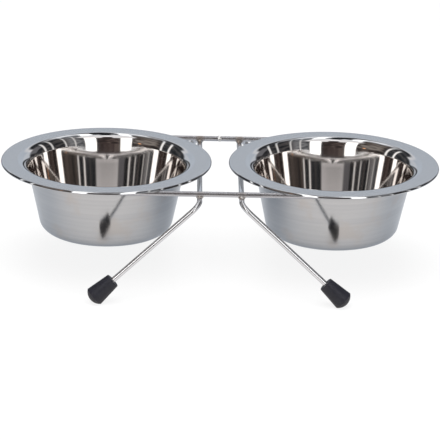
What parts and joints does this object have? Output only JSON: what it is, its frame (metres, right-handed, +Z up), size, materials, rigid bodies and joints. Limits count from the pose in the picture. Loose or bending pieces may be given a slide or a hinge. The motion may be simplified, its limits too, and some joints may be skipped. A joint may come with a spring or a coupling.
{
  "type": "double pet bowl with wire rack",
  "caption": "Round steel food and water bowls hang by wide flat rims in a low bent-wire rack with splayed legs and flared rubber feet; each bowl lifts out.",
  "frame": {"origin": "on the floor under the middle of the rack, between the bowls", "axes": "+X along the pair of bowls to the right one, +Y to the rear, +Z up; the picture is taken from the -Y side"},
  "size_m": [0.333, 0.2004, 0.081],
  "materials": {
    "bowl_steel": "satin rim and outside, mirror-polished inside",
    "wire_chrome": "bright plated round wire",
    "foot_rubber": "matt black moulded rubber",
    "weld_metal": "plated weld metal with a faint heat tint"
  },
  "bodies": {
    "rack": {"loop_wire": "wire_chrome", "left_leg_wire": "wire_chrome", "right_leg_wire": "wire_chrome", "front_left_foot": "foot_rubber", "front_right_foot": "foot_rubber", "rear_left_foot": "foot_rubber", "rear_right_foot": "foot_rubber", "front_left_weld": "weld_metal", "front_right_weld": "weld_metal", "rear_left_weld": "weld_metal", "rear_right_weld": "weld_metal", "loop_butt_weld": "weld_metal"},
    "left_bowl": {"left_bowl": "bowl_steel"},
    "right_bowl": {"right_bowl": "bowl_steel"}
  },
  "joints": [
    {"name": "left_bowl_lift", "type": "slide", "parent": "rack", "child": "left_bowl", "axis": [0, 0, 1], "range_m": [0, 0.07]},
    {"name": "right_bowl_lift", "type": "slide", "parent": "rack", "child": "right_bowl", "axis": [0, 0, 1], "range_m": [0, 0.07]}
  ]
}
